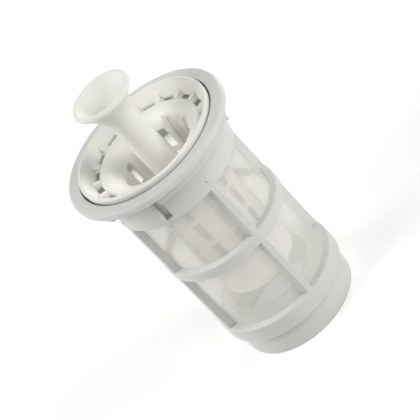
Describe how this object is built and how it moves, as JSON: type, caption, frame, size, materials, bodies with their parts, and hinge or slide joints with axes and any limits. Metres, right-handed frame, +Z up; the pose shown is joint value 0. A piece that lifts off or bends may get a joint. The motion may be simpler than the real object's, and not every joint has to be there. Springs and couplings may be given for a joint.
{
  "type": "dishwasher filter",
  "caption": "Cylindrical dishwasher filter: ribbed open frame with a fine mesh sleeve and a flange, and a lift-out coarse filter with slotted dish and trumpet handle.",
  "frame": {"origin": "centre of the base ring, on the surface it stands on", "axes": "+Z up along the filter's axis towards the handle; the four ribs lie on X and Y"},
  "size_m": [0.082, 0.082, 0.1464],
  "materials": {
    "frame_plastic": "moulded off-white polypropylene, satin",
    "insert_plastic": "moulded white polypropylene, satin",
    "woven_mesh": "fine woven monofilament mesh, translucent, silky sheen"
  },
  "bodies": {
    "microfilter": {"microfilter_frame": "frame_plastic", "mesh_sleeve": "woven_mesh"},
    "coarse_insert": {"coarse_filter": "insert_plastic", "handle": "insert_plastic"}
  },
  "joints": [
    {"name": "coarse_lift", "type": "slide", "parent": "microfilter", "child": "coarse_insert", "axis": [0, 0, 1], "range_m": [0, 0.09]}
  ]
}
